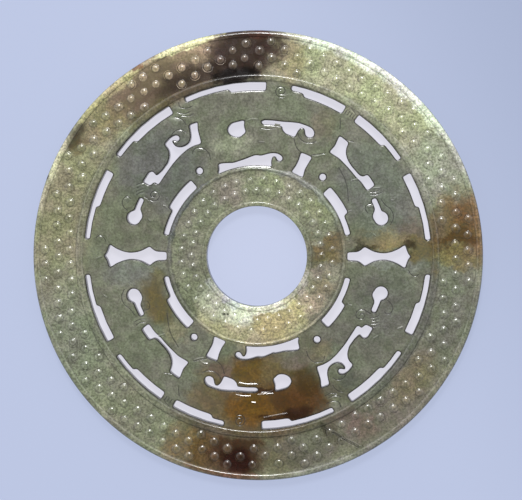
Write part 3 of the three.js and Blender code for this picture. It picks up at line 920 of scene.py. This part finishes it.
def makeJade():
    jade = bpy.data.materials.new("jade")
    jade.use_nodes = True
    tree = jade.node_tree
    shader = tree.nodes["Principled BSDF"]
    place = addNode(tree, "ShaderNodeTexCoord").outputs["Object"]
    ring = addNode(tree, "ShaderNodeGroup", node_tree=makeRingPlaceGroup())
    feed(tree, ring, {"Place": place, "Wander Along": stone["wanderAlong"], "Wander Across": stone["wanderAcross"]})
    angle, radius, height = (ring.outputs[name] for name in ("Angle", "Radius", "Height"))
    cloud, hue, mottling, fleck = (
        noise(tree, place, pattern).outputs["Fac"] for pattern in ("cloud", "hue", "mottling", "fleck"))
    speckle = calculate(tree, "MULTIPLY", calculate(tree, "ADD", mottling, fleck), 0.5)
    colour = tint(tree, ramp(tree, cloud, *stone["cloudRange"]), seen(*stone["dark"]), seen(*stone["light"]))
    inOpenwork = calculate(tree, "MULTIPLY", *(ramp(tree, radius, *fade) for fade in stone["openworkFade"]))
    share = calculate(tree, "MULTIPLY", inOpenwork, stone["openworkShare"])
    colour = tint(tree, share, colour, seen(*stone["openwork"]))

    def byHeight(level, limits, below=1, above=0):
        return ramp(tree, height, disc[level] + limits[0], disc[level] + limits[1], below, above)

    ground = byHeight("groundLevel", stone["wornRange"])
    patchGroup = makeStainPatchGroup()
    for atAngle, atRadius, halfAngle, halfWidth, shade, softness, broken, strength, wornOff in stains:
        patch = addNode(tree, "ShaderNodeGroup", node_tree=patchGroup)
        feed(tree, patch, {"Angle": angle, "Radius": radius, "Mottling": speckle, "Ground": ground,
                           "At Angle": atAngle, "At Radius": atRadius, "Half Angle": halfAngle,
                           "Half Width": halfWidth, "Softness": softness, "Broken": broken, "Strength": strength,
                           "Worn Off": wornOff})
        colour = tint(tree, patch.outputs["Mask"], colour, seen(*shade))
    brightness = addNode(tree, "ShaderNodeRGBToBW")
    feed(tree, brightness, {"Color": colour})
    gloss = ramp(tree, brightness.outputs[0], *stone["dullRange"], stone["dullGloss"], 1)
    # the stone turns greener and redder from place to place, and the mottling lightens and darkens everything
    hueTint = tint(tree, ramp(tree, hue, *stone["hueRange"]), seen(*stone["greenish"]), seen(*stone["mauve"]))
    aroundOne = addNode(tree, "ShaderNodeVectorMath", operation="SCALE")
    feed(tree, aroundOne, {"Vector": hueTint, "Scale": 1 / seen(128, 128, 128)[0]})
    colour = tint(tree, 1.0, colour, aroundOne.outputs[0], "MULTIPLY")
    for pattern, shares in ((mottling, stone["clouding"]), (fleck, stone["mottling"])):
        amount = ramp(tree, inOpenwork, 0, 1, *shares)
        swing = ramp(tree, pattern, *stone["mottlingRange"], -1, 1)
        shift = calculate(tree, "ADD", 1.0, calculate(tree, "MULTIPLY", swing, amount))
        scaled = addNode(tree, "ShaderNodeVectorMath", operation="SCALE")
        feed(tree, scaled, {"Vector": colour, "Scale": shift})
        colour = scaled.outputs[0]
    # dark colour, partly dirt and partly painted shade, fills the pits, chips and crack and every wall below the
    # ground of the bands; painted shade lines the edges of the openings and the engraved lines and lies thinly round
    # the feet of the grains
    # painted shade: a thin dark ring round the foot of each grain, broken into patches by the mottling
    paintedFootShade = calculate(tree, "MULTIPLY", byHeight("groundLevel", stone["footStart"], 0, 1),
                     byHeight("groundLevel", stone["footEnd"]))
    paintedFootShade = calculate(tree, "MULTIPLY", paintedFootShade, ramp(tree, mottling, *stone["footPatches"], *stone["footPaintedShade"]))
    # dirt and painted shade below the ground of the bands, together with the painted shade round the grains' feet
    low = calculate(tree, "MAXIMUM", byHeight("groundLevel", stone["pitRange"], stone["pitDirtAndShade"]), paintedFootShade)
    # painted shade along the worn edges and walls of the openings and in the engraved lines, below the openwork's
    # face
    edge = byHeight("openworkLevel", stone["edgeRange"], stone["edgePaintedShade"])
    inBands = calculate(tree, "SUBTRACT", 1.0, inOpenwork)
    dirtAndShade = calculate(tree, "ADD", calculate(tree, "MULTIPLY", edge, inOpenwork),
                     calculate(tree, "MULTIPLY", low, inBands))
    colour = tint(tree, dirtAndShade, colour, seen(*stone["dirtAndShade"]))
    gloss = calculate(tree, "MULTIPLY", gloss, calculate(tree, "SUBTRACT", 1.0, dirtAndShade))
    rough = ramp(tree, mottling, *stone["roughnessRange"], *stone["roughness"])
    relief = calculate(tree, "ADD", calculate(tree, "MULTIPLY", mottling, stone["mottlingRelief"]),
                       calculate(tree, "MULTIPLY", fleck, stone["fleckRelief"]))
    bump = addNode(tree, "ShaderNodeBump")
    feed(tree, bump, {"Height": relief, "Strength": stone["reliefStrength"], "Distance": stone["reliefDepth"]})
    feed(tree, shader, {"Base Color": colour, "Roughness": rough, "Normal": bump.outputs["Normal"],
                        "IOR": stone["refraction"], "Subsurface Weight": stone["glow"],
                        "Subsurface Radius": stone["glowReach"], "Subsurface Scale": 1.0,
                        "Coat Weight": calculate(tree, "MULTIPLY", gloss, stone["coat"]),
                        "Coat Roughness": stone["coatRoughness"]})
    return jade


# The table, the light and the camera
studio = {
    "tableSize": 3,
    "tableColour": (188, 198, 226),
    # painted light: the table is painted paler under the disc, where it shows in the bore
    "tablePaintedLightInBore": (198, 206, 232),
    "tablePaintedLightUnderOpenwork": (228, 227, 238),  # painted light: palest where the table shows through the small openings
    "tableFarCorner": (166, 177, 205),
    "tableCornerSlant": 0.5,
    "tableCornerRange": (0.02, 0.16),
    "tableGlow": 0.86,  # how much of the table's colour doesn't depend on the light that falls on it
    "tableRoughness": 0.8,
    "tableShine": 0.1,
    "keyPlace": (-0.02, 0.5, 0.8),
    "keySize": 0.2,
    "keyPower": 5.4,
    "skyStrength": 1.035,
    "skyColour": (250, 250, 255),
    # the sky's light as shares: straight above, near the table, and from the disc's lower and upper sides, and the
    # directions between which they change
    "skyOverhead": 0.1,
    "overheadRange": (0.8, 0.94),
    "skyLow": 0.25,
    "lowRange": (0.1, 0.4),
    "skyBehind": 0.4,
    "skyAhead": 1.15,
    "behindRange": (-0.55, 0.35),
}


def makeTableSurface():
    surface = bpy.data.materials.new("paleTable")
    surface.use_nodes = True
    tree = surface.node_tree
    place = addNode(tree, "ShaderNodeSeparateXYZ")
    feed(tree, place, {0: addNode(tree, "ShaderNodeTexCoord").outputs["Object"]})
    x, y = place.outputs["X"], place.outputs["Y"]
    squares = calculate(tree, "ADD", calculate(tree, "MULTIPLY", x, x), calculate(tree, "MULTIPLY", y, y))
    away = calculate(tree, "SQRT", squares)
    # painted light: the table is painted paler under the disc and in the bore, and palest under the openwork
    paintedLightUnderDisc = ramp(tree, away, disc["radius"] * mm, disc["openworkInner"] * mm)
    paintedLightUnderOpenwork = calculate(tree, "MULTIPLY", ramp(tree, away, disc["boreRadius"] * mm, disc["openworkInner"] * mm),
                              ramp(tree, away, disc["rimInner"] * mm, disc["openworkOuter"] * mm))
    towardsCorner = calculate(tree, "ADD", x, calculate(tree, "MULTIPLY", y, studio["tableCornerSlant"]))
    towardsCorner = ramp(tree, towardsCorner, *studio["tableCornerRange"])
    colour = tint(tree, towardsCorner, seen(*studio["tableColour"]), seen(*studio["tableFarCorner"]))
    colour = tint(tree, paintedLightUnderDisc, colour, seen(*studio["tablePaintedLightInBore"]))
    colour = tint(tree, paintedLightUnderOpenwork, colour, seen(*studio["tablePaintedLightUnderOpenwork"]))
    feed(tree, tree.nodes["Principled BSDF"], {
        "Base Color": tint(tree, 1 - studio["tableGlow"], (0, 0, 0, 1), colour),
        "Roughness": studio["tableRoughness"], "Specular IOR Level": studio["tableShine"],
        "Emission Color": colour, "Emission Strength": studio["tableGlow"]})
    return surface


def makeStudio():
    deselectAll()
    bpy.ops.mesh.primitive_plane_add(size=studio["tableSize"], location=(0, 0, 0))
    table = bpy.context.object
    table.name = "table"
    table.data.materials.append(makeTableSurface())
    sky = bpy.data.worlds.new("softSky")
    sky.use_nodes = True
    tree = sky.node_tree
    direction = addNode(tree, "ShaderNodeSeparateXYZ")
    feed(tree, direction, {0: addNode(tree, "ShaderNodeTexCoord").outputs["Generated"]})
    upwards, ahead = direction.outputs["Z"], direction.outputs["Y"]
    strength = ramp(tree, upwards, *studio["overheadRange"], studio["skyStrength"],
                    studio["skyStrength"] * studio["skyOverhead"])
    strength = calculate(tree, "MULTIPLY", strength, ramp(tree, upwards, *studio["lowRange"], studio["skyLow"], 1))
    strength = calculate(tree, "MULTIPLY", strength,
                         ramp(tree, ahead, *studio["behindRange"], studio["skyBehind"], studio["skyAhead"]))
    feed(tree, tree.nodes["Background"], {"Color": seen(*studio["skyColour"]), "Strength": strength})
    bpy.context.scene.world = sky
    deselectAll()
    bpy.ops.object.light_add(type="AREA", location=studio["keyPlace"])
    key = bpy.context.object
    key.name = "keyLight"
    key.data.size = studio["keySize"]
    key.data.energy = studio["keyPower"]
    key.rotation_euler = Vector(studio["keyPlace"]).to_track_quat("Z", "Y").to_euler()


camera = {
    "target": (0.00131, 0.00203, 0.0025),
    "leanRight": 3.4,  # degrees from straight above
    "leanUp": 2.35,
    "distance": 0.7,
    "sensorWidth": 36,
    "lens": 144.7,
    "clipStart": 0.01,
}


def makeCamera():
    deselectAll()
    bpy.ops.object.camera_add()
    eye = bpy.context.object
    eye.name = "camera"
    target = Vector(camera["target"])
    across, along = math.sin(math.radians(camera["leanRight"])), math.sin(math.radians(camera["leanUp"]))
    back = Vector((across, along, math.sqrt(1 - across ** 2 - along ** 2)))
    up = Vector((0, 1, 0))
    up = (up - back * up.dot(back)).normalized()
    right = up.cross(back)
    eye.matrix_world = Matrix((
        (right.x, up.x, back.x, target.x + back.x * camera["distance"]),
        (right.y, up.y, back.y, target.y + back.y * camera["distance"]),
        (right.z, up.z, back.z, target.z + back.z * camera["distance"]),
        (0, 0, 0, 1)))
    eye.data.sensor_width = camera["sensorWidth"]
    eye.data.lens = camera["lens"]
    eye.data.clip_start = camera["clipStart"]
    bpy.context.scene.camera = eye
    bpy.context.scene.view_settings.view_transform = "Standard"  # colours as they were set


finishBody(body)
body.data.materials.clear()
body.data.materials.append(makeJade())
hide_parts("jade_bi_disc")
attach(body, "root")
print("jade laid on")
makeStudio()
makeCamera()
print("scene ready")
